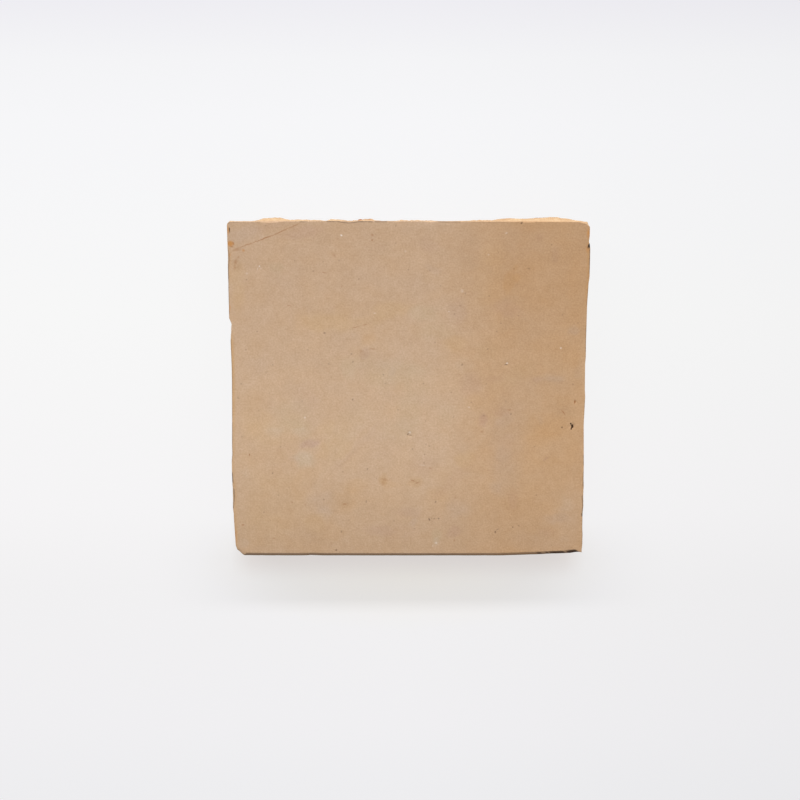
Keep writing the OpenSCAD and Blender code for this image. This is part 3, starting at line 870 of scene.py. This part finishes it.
# The break: pale peach and buff in lumps of 2 mm, with rusty patches.
lumps = noise_level(2.2, 0.0, 1.0, 4.0, 0.65)
broken = blend_colours(lumps, srgb("#ba9570"), srgb("#ccb08c"))
rust_share = add_node(tree, "Attribute", attribute_name="rust").outputs["Fac"]
broken = blend_colours(rust_share, broken, srgb("#9c5c30"))
broken = blend_colours(1.0, broken, sandy, "MULTIPLY")

bare_share = add_node(tree, "Attribute", attribute_name="bare_clay").outputs["Fac"]
dirt_and_shade_share = add_node(tree, "Attribute", attribute_name="edge_dirt_and_shade").outputs["Fac"]
colour = blend_colours(bare_share, skin, broken)
# Dark dirt in the edges, and painted shade along the lower edge.
colour = blend_colours(dirt_and_shade_share, colour, srgb("#3a2a20"))

# The grain stands 0.02 mm high, and the crumbs of the break up to seven times as high.
GRAIN_HEIGHT = 0.02 * MM
crumbs = noise_level(1.3, 0.0, 7.0, 4.0, 0.65)
height = calculate("MULTIPLY_ADD", crumbs, bare_share, grain)
bump = add_node(tree, "Bump", {"Strength": 1.0, "Distance": GRAIN_HEIGHT, "Height": height})
clay_shader = add_node(tree, "BsdfPrincipled", {
    "Base Color": colour, "Roughness": 0.9, "IOR": 1.45, "Specular IOR Level": 0.25, "Normal": bump.outputs[0],
})
add_node(tree, "OutputMaterial", {"Surface": clay_shader.outputs[0]})

tile_mesh.materials.append(fired_clay)
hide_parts("tile")
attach(tile, "root")

# The table
# A seamless sheet of white paper that the tile lies on. Painted shade greys it a little towards its near and far
# ends and to the right, a painted warm glow of light from the clay lies just below the tile, and it is in shade
# under its overhang.
FLOOR_SIZE = 3.0                  # metres
PAPER_HEIGHT = -0.02 * MM         # just under the tile's back, so that the two don't meet
corner = FLOOR_SIZE / 2
table_mesh = bpy.data.meshes.new("table")
table_mesh.from_pydata([
    (-corner, -corner, PAPER_HEIGHT), (corner, -corner, PAPER_HEIGHT),
    (corner, corner, PAPER_HEIGHT), (-corner, corner, PAPER_HEIGHT),
], [], [(0, 1, 2, 3)])
table = bpy.data.objects.new("table", table_mesh)
bpy.context.scene.collection.objects.link(table)
sheet_paper = bpy.data.materials.new("white_paper")
sheet_paper.use_nodes = True
tree = sheet_paper.node_tree
tree.nodes.clear()
where = add_node(tree, "TexCoord").outputs["Object"]
apart = add_node(tree, "SeparateXYZ", {0: where})
x_place, y_place = apart.outputs["X"], apart.outputs["Y"]

# Painted shade along the sheet from its near end to its far one: Y in millimetres, and the colour there.
painted_paper_shades = [
    (-140, "#eeeef0"), (-110, "#f1f0f2"), (-65, "#f2f1f2"), (-40, "#f5f4f5"),
    (20, "#f7f7f7"), (75, "#f6f6f8"), (93, "#f4f4f6"), (110, "#eeedf2"),
]
near_end, far_end = painted_paper_shades[0][0], painted_paper_shades[-1][0]
shade = add_node(tree, "ValToRGB", {0: level_between(y_place, near_end * MM, far_end * MM)})
ramp = shade.color_ramp.elements
ramp[0].color, ramp[1].color = srgb(painted_paper_shades[0][1]), srgb(painted_paper_shades[-1][1])
for y, code in painted_paper_shades[1:-1]:
    ramp.new((y - near_end) / (far_end - near_end)).color = srgb(code)
# Painted shade, a little darker to the right.
painted_shade_to_right = level_between(x_place, 0.0, 110 * MM, 1.0, 0.965)
paper_colour = blend_colours(1.0, shade.outputs[0], painted_shade_to_right, "MULTIPLY")

# A painted warm glow of light thrown by the clay, an ellipse round a point 58 mm below the tile's middle.
bounce_ellipse = add_node(tree, "Mapping", {
    "Vector": where, "Location": (0, -58 * MM, 0), "Scale": (62 * MM, 22 * MM, 1),
}, vector_type="TEXTURE")
painted_bounce_light = add_node(tree, "TexGradient", {"Vector": bounce_ellipse.outputs[0]}, gradient_type="SPHERICAL")
paper_colour = blend_colours(painted_bounce_light.outputs[1], paper_colour, srgb("#f3efe9"))

# A faint extra shade along the tile's lower edge, as long as the tile is wide.
LOWER_EDGE = 48 * MM
aside = calculate("ABSOLUTE", x_place)
from_edge = calculate("ABSOLUTE", calculate("ADD", y_place, LOWER_EDGE))
below = level_between(from_edge, 16.5 * MM, 7.5 * MM, interpolation_type="SMOOTHSTEP")
within = level_between(aside, 52 * MM, 46 * MM)
paper_colour = blend_colours(calculate("MULTIPLY", below, within), paper_colour, srgb("#e9e4e2"))

# The camera sees mostly the paper's own colour, as if evenly lit, and the rest of it lit by the lamp. More of
# that rest, and so of the tile's shadow, shows from the lower edge on towards the near end.
BELOW_SHARE, BESIDE_SHARE = 0.74, 0.96
even_share = level_between(y_place, -56 * MM, -44 * MM, BELOW_SHARE, BESIDE_SHARE)

# Under the tile's overhang the paper is in plain shade: inside a square round the foot of the walls, whose
# middle lies 4 mm below the tile's.
FOOT_MIDDLE = 4 * MM
from_middle = calculate("ABSOLUTE", calculate("ADD", y_place, FOOT_MIDDLE))
outside = level_between(calculate("MAXIMUM", from_middle, aside), 47.5 * MM, 49.5 * MM)
seen = add_node(tree, "LightPath").outputs["Is Camera Ray"]
even = calculate("MULTIPLY", seen, calculate("MULTIPLY", even_share, outside))
lit_paper = add_node(tree, "BsdfDiffuse", {"Color": paper_colour})
even_paper = add_node(tree, "Emission", {"Color": paper_colour, "Strength": 1.0})
both = add_node(tree, "MixShader", {0: even, 1: lit_paper.outputs[0], 2: even_paper.outputs[0]})
add_node(tree, "OutputMaterial", {"Surface": both.outputs[0]})
table_mesh.materials.append(sheet_paper)

# The light
# One wide softbox beyond the tile's upper edge, and even light from all round.
FILL, BACKDROP = 0.5, 0.93        # strength of the even light on the clay, and as the camera sees it
world = bpy.data.worlds.new("studio")
bpy.context.scene.world = world
world.use_nodes = True
tree = world.node_tree
tree.nodes.clear()
seen = add_node(tree, "LightPath").outputs["Is Camera Ray"]
strength = level_between(seen, 0.0, 1.0, FILL, BACKDROP)
sky = add_node(tree, "Background", {"Color": (1, 1, 1, 1), "Strength": strength})
add_node(tree, "OutputWorld", {"Surface": sky.outputs[0]})

BOX_WIDTH, BOX_DEPTH = 6.5, 0.28  # metres
BOX_AWAY = 3.0                    # metres
BOX_RISE = 29.5                   # degrees above the table
BOX_WATTS = 150
softbox = bpy.data.lights.new("softbox", "AREA")
softbox.shape = "RECTANGLE"
softbox.size, softbox.size_y = BOX_WIDTH, BOX_DEPTH
softbox.energy = BOX_WATTS
lamp = bpy.data.objects.new("softbox", softbox)
rise = radians(BOX_RISE)
lamp.location = (0, BOX_AWAY * cos(rise), BOX_AWAY * sin(rise))
lamp.rotation_euler = (rise - pi / 2, 0, 0)
bpy.context.scene.collection.objects.link(lamp)

# The camera
# It looks down past the tile's upper edge, 20 degrees off the face's normal, as the photograph shows the face.
FRAME_SIDE, FOCAL = 800, 2640     # pixels
SENSOR = 36                       # millimetres
FACE_PIXELS = 354.4               # width of the face at the middle of the picture
FACE_WIDTH = 100                  # millimetres
OFF_NORMAL = radians(20.16)
VIEW_END = 20                     # metres, past the far end of the table
aim_x, aim_y = -2.34, -2.19       # millimetres, where the picture's middle lies from the face's middle
distance = FOCAL * FACE_WIDTH / FACE_PIXELS
camera_data = bpy.data.cameras.new("camera")
camera_data.sensor_width = SENSOR
camera_data.lens = FOCAL / FRAME_SIDE * SENSOR
camera_data.clip_end = VIEW_END
camera = bpy.data.objects.new("camera", camera_data)
camera.location = (
    aim_x * MM,
    (distance * sin(OFF_NORMAL) + aim_y * cos(OFF_NORMAL)) * MM,
    (distance * cos(OFF_NORMAL) - aim_y * sin(OFF_NORMAL) + tile_t) * MM,
)
camera.rotation_euler = (-OFF_NORMAL, 0, 0)
bpy.context.scene.collection.objects.link(camera)
bpy.context.scene.camera = camera
bpy.context.scene.view_settings.view_transform = "Standard"
